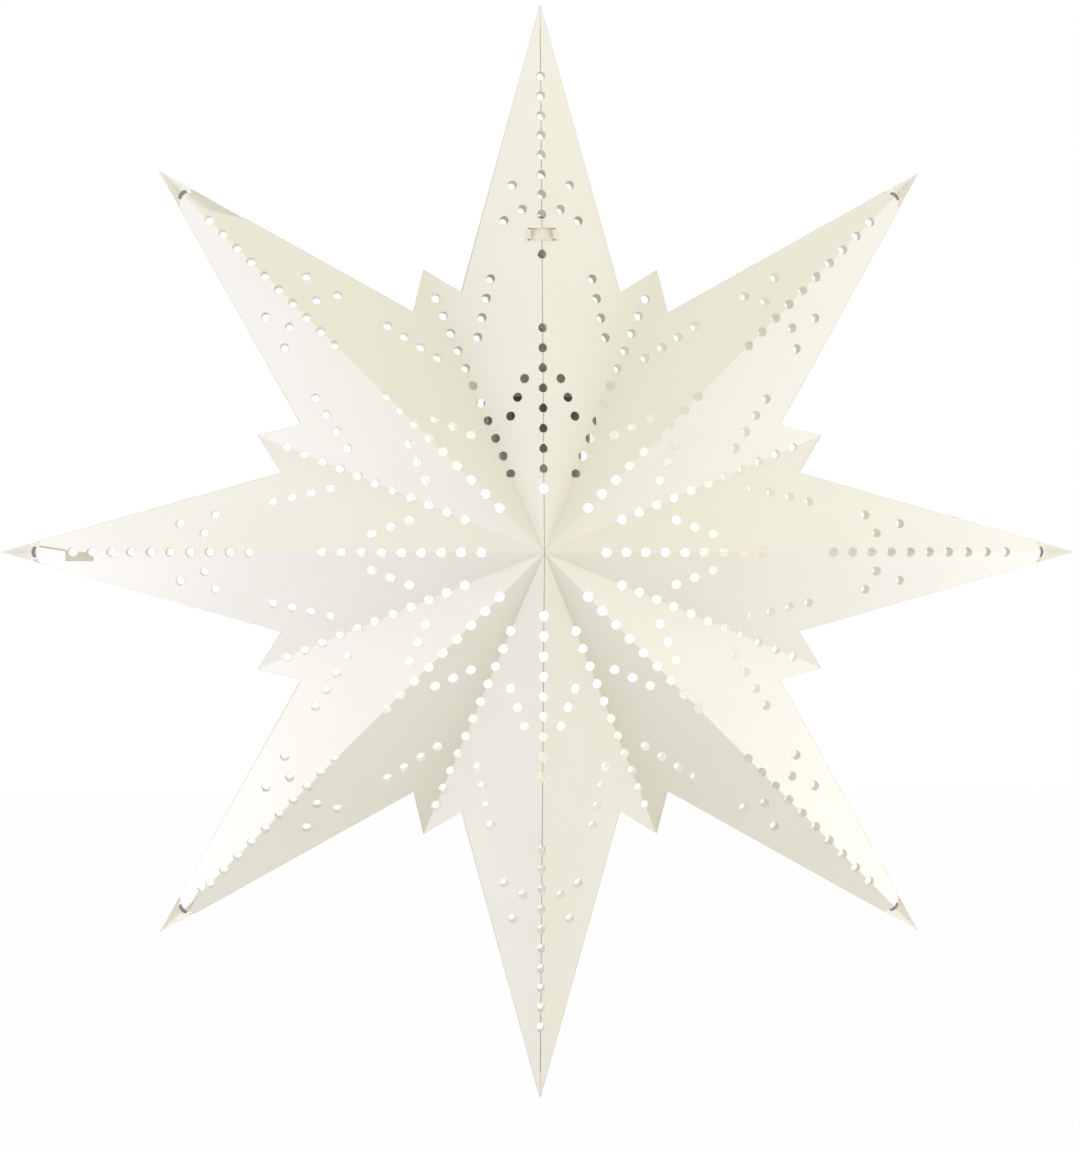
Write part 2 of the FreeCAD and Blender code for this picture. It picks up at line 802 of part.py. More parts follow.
def terminal_screws():
    """Two clamping screws in the terminal blocks."""
    screws = []
    for sign in (-1, 1):
        x = sign * terminal_spacing / 2
        top = core_top_height - terminal_seat + terminal_height
        low = top - terminal_head_height + nut_clearance
        shank = Part.makeCylinder(terminal_screw_radius, top - low + terminal_screw_stand, Vector(x, 0, low))
        head_low = top + terminal_screw_stand
        head = Part.makeCylinder(terminal_head_radius, terminal_head_height, Vector(x, 0, head_low))
        slot_width = terminal_head_radius / 4
        corner = Vector(x - terminal_head_radius, -slot_width / 2, head_low + terminal_head_height / 2)
        slot = Part.makeBox(2 * terminal_head_radius, slot_width, terminal_head_height, corner)
        screws.append(shank.fuse(head).cut(slot).removeSplitter())
    return Part.makeCompound(screws)


def thread_sleeve():
    """The brass sleeve that the bulb screws into, closed by a flange under the core."""
    outer = sleeve_inner_radius + sleeve_wall
    top = core_bottom_height - contact_thickness
    wall = ring(outer, sleeve_inner_radius, sleeve_bottom_height, top - sleeve_wall)
    flange = ring(outer, sleeve_hole_radius, top - sleeve_wall, top)
    return wall.fuse(flange).removeSplitter()


def strip(profile, width, middle):
    """A bent metal strip from centre-line points in X and Z, so wide along Y."""
    upper = [Vector(x, 0, z + contact_thickness) for x, z in profile]
    lower = [Vector(x, 0, z) for x, z in reversed(profile)]
    points = upper + lower
    shifted = [point + Vector(0, middle - width / 2, 0) for point in points]
    return Part.Face(Part.makePolygon(shifted + shifted[:1])).extrude(Vector(0, width, 0))


def centre_contact():
    """The sprung strip that presses on the bulb's tip."""
    top = core_bottom_height - contact_thickness
    low = bulb_insulator_top_height + bulb_tip_height + contact_gap
    rise = top - low
    profile = [
        (-contact_rivet_offset, top),
        (-contact_rivet_offset / 2, top),
        (-contact_width / 3, low),
        (contact_width / 3, low),
        (contact_width / 2, low + rise / 3),
    ]
    return strip(profile, contact_width, 0.0)


def side_contact():
    """The strip that joins the sleeve's flange to its terminal."""
    top = core_bottom_height - contact_thickness
    near = sleeve_hole_radius - contact_width / 4
    far = sleeve_inner_radius + sleeve_wall
    return strip([(near, top), (far, top)], side_contact_width, 0.0)


def bulb_screw_cap():
    """The bulb's metal cap, with its rolled thread as rounds."""
    root = bulb_cap_radius - bulb_thread_depth
    outer = [(root, bulb_cap_bottom_height)]
    start = bulb_cap_bottom_height + bulb_thread_pitch / 4
    for i in range(bulb_thread_count):
        low = start + i * bulb_thread_pitch
        outer.append((root, low + bulb_thread_pitch * 0.1))
        outer.append((bulb_cap_radius, low + bulb_thread_pitch * 0.35))
        outer.append((bulb_cap_radius, low + bulb_thread_pitch * 0.65))
        outer.append((root, low + bulb_thread_pitch * 0.9))
    outer.append((root, bulb_cap_top_height))
    inner = [(r - bulb_cap_wall, z) for r, z in reversed(outer)]
    return revolved(outer + inner)


def bulb_insulator():
    """The dark glass cone between the cap and its tip contact."""
    root = bulb_cap_radius - bulb_thread_depth - bulb_cap_wall
    outline = [
        (0.0, bulb_cap_top_height - bulb_tip_height),
        (root - bulb_cap_wall, bulb_cap_top_height - bulb_tip_height),
        (root - bulb_cap_wall, bulb_cap_top_height),
        (root + bulb_cap_wall, bulb_cap_top_height),
        (bulb_insulator_top_radius, bulb_insulator_top_height),
        (0.0, bulb_insulator_top_height),
    ]
    return revolved(outline)


def bulb_tip_contact():
    """The solder button at the end of the bulb's cap."""
    low = bulb_insulator_top_height
    outline = [
        (0.0, low),
        (bulb_tip_radius, low),
        (bulb_tip_radius, low + bulb_tip_height / 2),
        (bulb_tip_radius / 2, low + bulb_tip_height),
        (0.0, low + bulb_tip_height),
    ]
    return revolved(outline)


def glass_outline(shrink):
    """Edges of the bulb's outside, or of its inside a wall's thickness in, from rim to bottom."""
    neck = glass_neck_radius - shrink
    low_neck = bulb_cap_bottom_height - glass_cap_gap
    rim = Vector(neck, 0, glass_rim_height)
    below_rim = Vector(neck, 0, low_neck)
    globe = globe_radius - shrink
    join_angle = math.radians(globe_join_angle)
    join = Vector(globe * math.cos(join_angle), 0, globe_centre_height + globe * math.sin(join_angle))
    bottom = Vector(0, 0, globe_centre_height - globe)
    side = Vector(globe, 0, globe_centre_height)
    curve = Part.BSplineCurve()
    middle = [
        Vector(glass_shoulder_radius - shrink, 0, glass_shoulder_height),
        Vector(glass_waist_radius - shrink, 0, glass_waist_height),
    ]
    curve.interpolate(
        [below_rim] + middle + [join],
        InitialTangent=Vector(0, 0, -1),
        FinalTangent=Vector(math.sin(join_angle), 0, -math.cos(join_angle)),
    )
    return [
        Part.makeLine(rim, below_rim),
        curve.toShape(),
        Part.Arc(join, side, bottom).toShape(),
    ]


def bulb_glass():
    """The opal glass envelope, open where the stem closes its neck."""
    outer = glass_outline(0.0)
    inner = glass_outline(glass_wall)
    floor = Part.makeLine(
        Vector(0, 0, globe_centre_height - globe_radius),
        Vector(0, 0, globe_centre_height - globe_radius + glass_wall),
    )
    rim = Part.makeLine(
        Vector(glass_neck_radius - glass_wall, 0, glass_rim_height),
        Vector(glass_neck_radius, 0, glass_rim_height),
    )
    wire = Part.Wire(Part.__sortEdges__(outer + inner + [floor, rim]))
    return Part.Face(wire).revolve(Vector(0, 0, 0), Vector(0, 0, 1), 360)


def filament_wires():
    """A centre wire below the stem, and short wires out to both ends of each filament."""
    low = stem_bottom_height - filament_wire_seat - filament_length
    height = stem_bottom_height + filament_wire_seat - low
    wires = [Part.makeCylinder(filament_wire_radius, height, Vector(0, 0, low))]
    for i in range(filament_count):
        turn = 2 * math.pi * (i + 0.5) / filament_count
        out = Vector(math.cos(turn), math.sin(turn), 0)
        seat = stem_radius - filament_wire_radius
        upper = out * seat + Vector(0, 0, stem_bottom_height + filament_wire_seat / 2)
        wires.append(Part.makeCylinder(filament_wire_radius, filament_circle_radius - seat, upper, out))
        lower = Vector(0, 0, low + filament_wire_seat / 2)
        wires.append(Part.makeCylinder(filament_wire_radius, filament_circle_radius, lower, out))
    return wires


def bulb_stem():
    """The glass stem that closes the neck, with the wires sealed into it."""
    seat = glass_neck_radius - glass_wall - stem_clearance
    outline = [
        (0.0, stem_bottom_height),
        (stem_radius, stem_bottom_height),
        (stem_radius, stem_flare_height - seat),
        (seat, stem_flare_height),
        (seat, glass_rim_height),
        (0.0, glass_rim_height),
    ]
    return revolved(outline).cut(Part.makeCompound(filament_wires()))


def bulb_filaments():
    """Straight light filaments round the stem, on their wires."""
    sticks = []
    low = stem_bottom_height - filament_wire_seat - filament_length
    for i in range(filament_count):
        turn = 2 * math.pi * (i + 0.5) / filament_count
        out = Vector(math.cos(turn), math.sin(turn), 0)
        height = filament_length + 2 * filament_wire_seat
        sticks.append(Part.makeCylinder(filament_radius, height, out * filament_circle_radius + Vector(0, 0, low)))
    return sticks[0].fuse(sticks[1:] + filament_wires()).removeSplitter()


def build():
    """Every sub-part under the name of its node."""
    middle = arm_count // 2
    right_arms = list(range(1, middle))
    left_arms = list(range(middle + 1, arm_count))
    lower_left, left, upper_left = left_arms
    reliefs = {lower_left: lower_left_slit, left: left_window, upper_left: upper_left_gape}
    front_half = half_star(-1)
    rear_half = half_star(1)
    return {
        "front_right_panel": front_panel(front_half.fuse(seam_lip(-1)), right_arms, reliefs),
        "front_left_panel": front_panel(mirrored(front_half), left_arms, reliefs),
        "rear_right_panel": rear_panel(rear_half.fuse(seam_lip(1)), right_arms),
        "rear_left_panel": rear_panel(mirrored(rear_half), left_arms),
        "hanger_bracket": hanger_bracket(),
        "threaded_tube": threaded_tube(),
        "tube_nuts": tube_nuts(),
        "cord_grommet": cord_grommet(),
        "holder_cap": holder_cap(),
        "cap_lock_screw": cap_lock_screw(),
        "holder_skirt": holder_skirt(),
        "shade_ring": shade_ring(),
        "holder_core": holder_core(),
        "terminals": terminals(),
        "terminal_screws": terminal_screws(),
        "thread_sleeve": thread_sleeve(),
        "centre_contact": centre_contact(),
        "side_contact": side_contact(),
        "bulb_screw_cap": bulb_screw_cap(),
        "bulb_insulator": bulb_insulator(),
        "bulb_tip_contact": bulb_tip_contact(),
        "bulb_glass": bulb_glass(),
        "bulb_stem": bulb_stem(),
        "bulb_filaments": bulb_filaments(),
    }


for name, shape in build().items():
    shape.exportStep("parts/" + name + ".step")
    print(name, len(shape.Solids), round(shape.Volume), shape.isValid())
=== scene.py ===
import bpy
import math
from mathutils import Matrix, Vector


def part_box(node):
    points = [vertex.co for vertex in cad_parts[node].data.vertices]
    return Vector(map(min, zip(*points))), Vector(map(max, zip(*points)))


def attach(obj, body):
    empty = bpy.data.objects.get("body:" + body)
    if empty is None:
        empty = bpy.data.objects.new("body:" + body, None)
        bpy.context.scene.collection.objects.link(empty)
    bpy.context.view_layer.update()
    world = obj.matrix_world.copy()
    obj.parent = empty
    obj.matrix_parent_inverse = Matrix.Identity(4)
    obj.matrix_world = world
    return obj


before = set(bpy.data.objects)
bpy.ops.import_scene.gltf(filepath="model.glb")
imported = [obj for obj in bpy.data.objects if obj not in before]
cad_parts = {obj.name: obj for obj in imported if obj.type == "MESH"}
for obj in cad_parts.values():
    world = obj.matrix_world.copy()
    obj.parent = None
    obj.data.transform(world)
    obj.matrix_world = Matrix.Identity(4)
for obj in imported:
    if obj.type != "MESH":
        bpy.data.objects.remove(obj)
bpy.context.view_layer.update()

# The star shade is four panels of half-millimetre steel sheet, cut, punched and folded, then
# powder coated in a warm white. The coat is satin, with the faint orange peel that powder
# leaves when it flows in the oven, and its gloss and tint drift a little from place to place.


def linear(code):
    """A colour written as an sRGB hex value, in the shader's linear numbers."""
    parts = [int(code[i:i + 2], 16) / 255 for i in (1, 3, 5)]
    return [p / 12.92 if p <= 0.04045 else ((p + 0.055) / 1.055) ** 2.4 for p in parts] + [1.0]


def add_node(tree, kind, settings=None, values=None, links=None):
    """One node with its settings, its socket values and the sockets that feed it."""
    node = tree.nodes.new(kind)
    for name, value in (settings or {}).items():
        setattr(node, name, value)
    for name, value in (values or {}).items():
        node.inputs[name].default_value = value
    for name, source in (links or {}).items():
        tree.links.new(source, node.inputs[name])
    return node


def finish_material(name):
    """An empty material and its tree, output and object coordinates."""
    material = bpy.data.materials.new(name)
    material.use_nodes = True
    tree = material.node_tree
    tree.nodes.clear()
    output = tree.nodes.new("ShaderNodeOutputMaterial")
    place = tree.nodes.new("ShaderNodeTexCoord").outputs["Object"]
    return material, tree, output, place


def dress(material, *nodes):
    """Give CAD nodes their finish through their own material slots."""
    for name in nodes:
        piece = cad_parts[name]
        if not piece.material_slots:
            piece.data.materials.append(material)
        for entry in piece.material_slots:
            entry.material = material


mm = 0.001
peel_size = 2.2 * mm
drift_size = 35 * mm
powder_coat, tree, output, place = finish_material("warm_white_powder_coat")
drift = add_node(
    tree,
    "ShaderNodeTexNoise",
    values={"Scale": 1 / drift_size, "Detail": 3.0},
    links={"Vector": place},
)
warm_white = add_node(
    tree,
    "ShaderNodeMix",
    settings={"data_type": "RGBA"},
    values={"A": linear("#F2EFE4"), "B": linear("#EEEADD")},
    links={"Factor": drift.outputs["Fac"]},
)
peel = add_node(
    tree,
    "ShaderNodeTexNoise",
    values={"Scale": 1 / peel_size, "Detail": 2.0},
    links={"Vector": place},
)
satin = add_node(
    tree,
    "ShaderNodeMapRange",
    values={"To Min": 0.42, "To Max": 0.54},
    links={"Value": drift.outputs["Fac"]},
)
orange_peel = add_node(
    tree,
    "ShaderNodeBump",
    values={"Strength": 0.12, "Distance": 0.06 * mm},
    links={"Height": peel.outputs["Fac"]},
)
coat = add_node(
    tree,
    "ShaderNodeBsdfPrincipled",
    values={"IOR": 1.5},
    links={
        "Base Color": warm_white.outputs["Result"],
        "Roughness": satin.outputs["Result"],
        "Normal": orange_peel.outputs["Normal"],
    },
)
tree.links.new(coat.outputs["BSDF"], output.inputs["Surface"])
dress(powder_coat, "front_left_panel", "front_right_panel", "rear_left_panel", "rear_right_panel")

# The cut edges of the panels and of every punched hole carry a thin rounded bead, where the
# powder draws back from the sharp edge and piles up beside it. It is the same coat, and it is
# drawn along the outer sharp edges of a copy of each panel.

bead_radius = 0.13 * mm
bead_sides = 4
cut_edge_degrees = 60.0
weld_distance = 0.002 * mm
outward_cosine = 0.6
beside_share = 0.2


def start_tree(name, inputs, result):
    """A geometry tree with its named inputs and one named result."""
    tree = bpy.data.node_groups.new(name, "GeometryNodeTree")
    for label, kind in inputs.items():
        tree.interface.new_socket(label, in_out="INPUT", socket_type=kind)
    tree.interface.new_socket(result, in_out="OUTPUT", socket_type="NodeSocketGeometry")
    return tree, tree.nodes.new("NodeGroupInput").outputs


def end_tree(tree, geometry, material, result):
    """End a tree with real geometry in one material."""
    real = add_node(tree, "GeometryNodeRealizeInstances", links={"Geometry": geometry})
    coated = add_node(
        tree,
        "GeometryNodeSetMaterial",
        links={"Geometry": real.outputs["Geometry"], "Material": material},
    )
    end = tree.nodes.new("NodeGroupOutput")
    tree.links.new(coated.outputs["Geometry"], end.inputs[result])


def bead_tree():
    """A tree that lays a bead along the outer cut edges of a sheet that faces the given way."""
    tree, source = start_tree(
        "paint_bead_on_cut_edges",
        {
            "Sheet": "NodeSocketGeometry",
            "Bead Radius": "NodeSocketFloat",
            "Edge Angle": "NodeSocketFloat",
            "Outward": "NodeSocketVector",
            "Coat": "NodeSocketMaterial",
        },
        "Bead",
    )
    welded = add_node(
        tree,
        "GeometryNodeMergeByDistance",
        values={"Distance": weld_distance},
        links={"Geometry": source["Sheet"]},
    )
    normal = tree.nodes.new("GeometryNodeInputNormal")
    facing = add_node(
        tree,
        "ShaderNodeVectorMath",
        settings={"operation": "DOT_PRODUCT"},
        links={0: normal.outputs["Normal"], 1: source["Outward"]},
    )
    outer = add_node(
        tree,
        "FunctionNodeCompare",
        settings={"data_type": "FLOAT", "operation": "GREATER_THAN"},
        values={"B": outward_cosine},
        links={"A": facing.outputs["Value"]},
    )
    marked = add_node(
        tree,
        "GeometryNodeStoreNamedAttribute",
        settings={"data_type": "FLOAT", "domain": "FACE"},
        values={"Name": "outer_face"},
        links={"Geometry": welded.outputs["Geometry"], "Value": outer.outputs["Result"]},
    )
    # An edge reads the mean of its faces' marks, so one outer face lifts it over the share.
    mark = add_node(
        tree,
        "GeometryNodeInputNamedAttribute",
        settings={"data_type": "FLOAT"},
        values={"Name": "outer_face"},
    )
    beside = add_node(
        tree,
        "FunctionNodeCompare",
        settings={"data_type": "FLOAT", "operation": "GREATER_THAN"},
        values={"B": beside_share},
        links={"A": mark.outputs["Attribute"]},
    )
    fold = tree.nodes.new("GeometryNodeInputMeshEdgeAngle")
    sharp = add_node(
        tree,
        "FunctionNodeCompare",
        settings={"data_type": "FLOAT", "operation": "GREATER_THAN"},
        links={"A": fold.outputs["Unsigned Angle"], "B": source["Edge Angle"]},
    )
    cut_edge = add_node(
        tree,
        "FunctionNodeBooleanMath",
        settings={"operation": "AND"},
        links={0: beside.outputs["Result"], 1: sharp.outputs["Result"]},
    )
    lines = add_node(
        tree,
        "GeometryNodeMeshToCurve",
        links={"Mesh": marked.outputs["Geometry"], "Selection": cut_edge.outputs["Boolean"]},
    )
    section = add_node(
        tree,
        "GeometryNodeCurvePrimitiveCircle",
        values={"Resolution": bead_sides},
        links={"Radius": source["Bead Radius"]},
    )
    bead = add_node(
        tree,
        "GeometryNodeCurveToMesh",
        values={"Fill Caps": True},
        links={"Curve": lines.outputs["Curve"], "Profile Curve": section.outputs["Curve"]},
    )
    end_tree(tree, bead.outputs["Mesh"], source["Coat"], "Bead")
    return tree


def grow_piece(name, mesh, tree, values):
    """A new piece: a mesh that a tree has worked on with its named inputs set."""
    piece = bpy.data.objects.new(name, mesh)
    bpy.context.scene.collection.objects.link(piece)
    modifier = piece.modifiers.new("nodes", "NODES")
    modifier.node_group = tree
    for entry in tree.interface.items_tree:
        if entry.in_out == "INPUT" and entry.name in values:
            modifier[entry.identifier] = values[entry.name]
    piece.data.update()
    shown = piece.evaluated_get(bpy.context.evaluated_depsgraph_get())
    grown = bpy.data.meshes.new_from_object(shown)
    piece.modifiers.remove(modifier)
    piece.data = grown
    return piece


bead_nodes = bead_tree()
outward_sides = {"front_left": -1, "front_right": -1, "rear_left": 1, "rear_right": 1}
for panel, outward in outward_sides.items():
    edge_bead = grow_piece(
        panel + "_paint_bead",
        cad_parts[panel + "_panel"].data.copy(),
        bead_nodes,
        {
            "Bead Radius": bead_radius,
            "Edge Angle": math.radians(cut_edge_degrees),
            "Outward": (0.0, outward, 0.0),
            "Coat": powder_coat,
        },
    )
    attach(edge_bead, "lamp")

# The six tongues are bent flat behind the rear sheet, and each foot shows through its crescent
# slot. A thin grey plate lies on each foot where it shows: painted shade, standing in for the
# dark gap of the slot. It is streaked in cool greys, drawn coarse so that the streaks show.

arm_count = 8
shade_plate_thickness = 0.05 * mm
shade_plate_near = 255.6 * mm
shade_plate_far = 260.6 * mm
shade_plate_half_width = 2.7 * mm
sheet_thickness = 0.5 * mm
shade_streak_size = 0.667 * mm


def slot_shade_tree():
    """A tree that lays a grey plate of painted slot shade on the tongue of each arm but the upper
    and the lower one.
    """
    tree, source = start_tree(
        "painted_slot_shade_plates",
        {
            "Start": "NodeSocketGeometry",
            "Plate Size": "NodeSocketVector",
            "Plate Place": "NodeSocketVector",
            "Arm Step": "NodeSocketFloat",
            "Slot Shade": "NodeSocketMaterial",
        },
        "Plates",
    )
    plate = add_node(tree, "GeometryNodeMeshCube", links={"Size": source["Plate Size"]})
    placed = add_node(
        tree,
        "GeometryNodeTransform",
        links={"Geometry": plate.outputs["Mesh"], "Translation": source["Plate Place"]},
    )
    spots = add_node(
        tree,
        "GeometryNodeMeshLine",
        values={"Count": arm_count - 1, "Offset": (0.0, 0.0, 0.0)},
    )
    number = tree.nodes.new("GeometryNodeInputIndex")
    not_lower = add_node(
        tree,
        "FunctionNodeCompare",
        settings={"data_type": "INT", "operation": "NOT_EQUAL"},
        values={"B": arm_count // 2 - 1},
        links={"A": number.outputs["Index"]},
    )
    arm = add_node(
        tree,
        "ShaderNodeMath",
        settings={"operation": "ADD"},
        values={1: 1.0},
        links={0: number.outputs["Index"]},
    )
    turn = add_node(
        tree,
        "ShaderNodeMath",
        settings={"operation": "MULTIPLY"},
        links={0: arm.outputs["Value"], 1: source["Arm Step"]},
    )
    axis = add_node(tree, "ShaderNodeCombineXYZ", links={"Y": turn.outputs["Value"]})
    feet = add_node(
        tree,
        "GeometryNodeInstanceOnPoints",
        links={
            "Points": spots.outputs["Mesh"],
            "Selection": not_lower.outputs["Result"],
            "Instance": placed.outputs["Geometry"],
            "Rotation": axis.outputs["Vector"],
        },
    )
    end_tree(tree, feet.outputs["Instances"], source["Slot Shade"], "Plates")
    return tree


# The plates' cool greys are painted shade for the dark slots, not a colour of the steel.
slot_shade_grey, tree, output, place = finish_material("painted_slot_shade")
slot_shade_streaks = add_node(
    tree,
    "ShaderNodeTexNoise",
    values={"Scale": 1 / shade_streak_size, "Detail": 3.0},
    links={"Vector": place},
)
cool_grey = add_node(
    tree,
    "ShaderNodeMix",
    settings={"data_type": "RGBA"},
    values={"A": linear("#A09CA0"), "B": linear("#8D8A8E")},
    links={"Factor": slot_shade_streaks.outputs["Fac"]},
)
slot_shade_bsdf = add_node(
    tree,
    "ShaderNodeBsdfPrincipled",
    values={"Roughness": 0.55, "Metallic": 0.4},
    links={"Base Color": cool_grey.outputs["Result"]},
)
tree.links.new(slot_shade_bsdf.outputs["BSDF"], output.inputs["Surface"])
foot_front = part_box("front_left_panel")[1].y - sheet_thickness - shade_plate_thickness / 2
slot_shade_plates = grow_piece(
    "slot_shade_plates",
    bpy.data.meshes.new("slot_shade_plates"),
    slot_shade_tree(),
    {
        "Plate Size": (2 * shade_plate_half_width, shade_plate_thickness, shade_plate_far - shade_plate_near),
        "Plate Place": (0.0, foot_front, (shade_plate_near + shade_plate_far) / 2),
        "Arm Step": math.tau / arm_count,
        "Slot Shade": slot_shade_grey,
    },
)
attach(slot_shade_plates, "lamp")

# The hanger bracket is a pressed steel strap, clipped into the lock window at both seams. It is
# dipped in a cream paint that pools a little, which leaves soft swells and paler patches.

pool_size = 4 * mm
cream, tree, output, place = finish_material("dipped_cream_paint")
pools = add_node(
    tree,
    "ShaderNodeTexNoise",
    values={"Scale": 1 / pool_size, "Detail": 1.0},
    links={"Vector": place},
)
cream_tint = add_node(
    tree,
    "ShaderNodeMix",
    settings={"data_type": "RGBA"},
    values={"A": linear("#EEEADB"), "B": linear("#E3DECC")},
    links={"Factor": pools.outputs["Fac"]},
)
swells = add_node(
    tree,
    "ShaderNodeBump",
    values={"Strength": 0.2, "Distance": 0.1 * mm},
    links={"Height": pools.outputs["Fac"]},
)
dip = add_node(
    tree,
    "ShaderNodeBsdfPrincipled",
    values={"Roughness": 0.42, "IOR": 1.5},
    links={"Base Color": cream_tint.outputs["Result"], "Normal": swells.outputs["Normal"]},
)
tree.links.new(dip.outputs["BSDF"], output.inputs["Surface"])
dress(cream, "hanger_bracket")

# The threaded tube is a steel pipe with a metric fine thread along its whole length, plated
# with bright zinc. It carries the lampholder, and the cord runs down inside it. The plating
# fills the thread a little, so its crests are soft and catch a thin line of light.

thread_pitch = 1 * mm
thread_rise = 0.22 * mm
ridge_sides = 5
steps_per_turn = 28
wear_size = 2.5 * mm
tube_low, tube_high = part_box("threaded_tube")
tube_radius = (tube_high.x - tube_low.x) / 2


def thread_tree():
    """A tree that winds a round-backed thread up a tube."""
    tree, source = start_tree(
        "wound_thread",
        {
            "Start": "NodeSocketGeometry",
            "Tube Radius": "NodeSocketFloat",
            "Pitch": "NodeSocketFloat",
            "Length": "NodeSocketFloat",
            "Rise": "NodeSocketFloat",
            "Plating": "NodeSocketMaterial",
        },
        "Thread",
    )
    turns = add_node(
        tree,
        "ShaderNodeMath",
        settings={"operation": "DIVIDE"},
        links={0: source["Length"], 1: source["Pitch"]},
    )
    winding = add_node(
        tree,
        "GeometryNodeCurveSpiral",
        values={"Resolution": steps_per_turn},
        links={
            "Rotations": turns.outputs["Value"],
            "Start Radius": source["Tube Radius"],
            "End Radius": source["Tube Radius"],
            "Height": source["Length"],
        },
    )
    section = add_node(
        tree,
        "GeometryNodeCurvePrimitiveCircle",
        values={"Resolution": ridge_sides},
        links={"Radius": source["Rise"]},
    )
    ridge = add_node(
        tree,
        "GeometryNodeCurveToMesh",
        values={"Fill Caps": True},
        links={"Curve": winding.outputs["Curve"], "Profile Curve": section.outputs["Curve"]},
    )
    end_tree(tree, ridge.outputs["Mesh"], source["Plating"], "Thread")
    return tree


bright_zinc, tree, output, place = finish_material("bright_zinc_on_thread")
wear = add_node(
    tree,
    "ShaderNodeTexNoise",
    values={"Scale": 1 / wear_size, "Detail": 4.0},
    links={"Vector": place},
)
pale_metal = add_node(
    tree,
    "ShaderNodeMix",
    settings={"data_type": "RGBA"},
    values={"A": linear("#DAD9D5"), "B": linear("#C8C8C3")},
    links={"Factor": wear.outputs["Fac"]},
)
gloss = add_node(
    tree,
    "ShaderNodeMapRange",
    values={"To Min": 0.35, "To Max": 0.5},
    links={"Value": wear.outputs["Fac"]},
)
film = add_node(
    tree,
    "ShaderNodeBsdfPrincipled",
    values={"Metallic": 1.0},
    links={"Base Color": pale_metal.outputs["Result"], "Roughness": gloss.outputs["Result"]},
)
tree.links.new(film.outputs["BSDF"], output.inputs["Surface"])
dress(bright_zinc, "threaded_tube")
tube_thread = grow_piece(
    "tube_thread",
    bpy.data.meshes.new("tube_thread"),
    thread_tree(),
    {
        "Tube Radius": tube_radius,
        "Pitch": thread_pitch,
        "Length": tube_high.z - tube_low.z - 2 * thread_pitch,
        "Rise": thread_rise,
        "Plating": bright_zinc,
    },
)
tube_thread.data.transform(Matrix.Translation((0, 0, tube_low.z + thread_pitch)))
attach(tube_thread, "lamp")

# The two nuts that clamp the bracket on the tube are zinc plated, and so are the screws of the
# cap and the terminals. The plating gives the eye a soft grey with faint cloudy patches.

cloud_size = 3 * mm
zinc, tree, output, place = finish_material("zinc_plated_steel")
clouds = add_node(
    tree,
    "ShaderNodeTexVoronoi",
    values={"Scale": 1 / cloud_size},
    links={"Vector": place},
)
soft_grey = add_node(
    tree,
    "ShaderNodeMix",
    settings={"data_type": "RGBA"},
    values={"A": linear("#B8B9B7"), "B": linear("#A3A4A1")},
    links={"Factor": clouds.outputs["Distance"]},
)
cloudy = add_node(
    tree,
    "ShaderNodeMapRange",
    values={"To Min": 0.3, "To Max": 0.42},
    links={"Value": clouds.outputs["Distance"]},
)
plating = add_node(
    tree,
    "ShaderNodeBsdfPrincipled",
    values={"Metallic": 1.0},
    links={"Base Color": soft_grey.outputs["Result"], "Roughness": cloudy.outputs["Result"]},
)
tree.links.new(plating.outputs["BSDF"], output.inputs["Surface"])
dress(zinc, "tube_nuts", "cap_lock_screw", "terminal_screws")

# The cord grommet is a moulded rubber bush, pushed into the hole on the rear seam so that
# its groove grips both sheets. The rubber is a dull light grey with a dusty grain.

dust_size = 1.11 * mm
rubber, tree, output, place = finish_material("moulded_grey_rubber")
dust = add_node(
    tree,
    "ShaderNodeTexNoise",
    values={"Scale": 1 / dust_size, "Detail": 4.0},
    links={"Vector": place},
)
chalk = add_node(
    tree,
    "ShaderNodeMix",
    settings={"data_type": "RGBA"},
    values={"A": linear("#D9D7D0"), "B": linear("#CBC8C0")},
    links={"Factor": dust.outputs["Fac"]},
)
dusty_skin = add_node(
    tree,
    "ShaderNodeBump",
    values={"Strength": 0.3, "Distance": 0.08 * mm},
    links={"Height": dust.outputs["Fac"]},
)
bush = add_node(
    tree,
    "ShaderNodeBsdfPrincipled",
    values={"Roughness": 0.8, "IOR": 1.52},
    links={"Base Color": chalk.outputs["Result"], "Normal": dusty_skin.outputs["Normal"]},
)
tree.links.new(bush.outputs["BSDF"], output.inputs["Surface"])
dress(rubber, "cord_grommet")

# The cap of the lampholder is moulded in a pale grey plastic and screwed on the tube. Its skin
# is dull and lightly scuffed, because it is handled when the cord is fitted.

scuff_size = 3.85 * mm
pale_plastic, tree, output, place = finish_material("moulded_pale_grey_cap")
scuffs = add_node(
    tree,
    "ShaderNodeTexNoise",
    values={"Scale": 1 / scuff_size, "Detail": 4.0},
    links={"Vector": place},
)
pale_grey = add_node(
    tree,
    "ShaderNodeMix",
    settings={"data_type": "RGBA"},
    values={"A": linear("#C6C4BD"), "B": linear("#B9B7B0")},
    links={"Factor": scuffs.outputs["Fac"]},
)
handled_skin = add_node(
    tree,
    "ShaderNodeMapRange",
    values={"To Min": 0.45, "To Max": 0.6},
    links={"Value": scuffs.outputs["Fac"]},
)
cap_plastic = add_node(
    tree,
    "ShaderNodeBsdfPrincipled",
    values={"IOR": 1.55},
    links={
        "Base Color": pale_grey.outputs["Result"],
        "Roughness": handled_skin.outputs["Result"],
    },
)
tree.links.new(cap_plastic.outputs["BSDF"], output.inputs["Surface"])
dress(pale_plastic, "holder_cap")

# The lampholder's skirt and the ring that screws on it are moulded in smoke grey phenolic
# plastic. It has a soft gloss and the grain of the mould, which is drawn coarser than the real
# one, so that it shows.

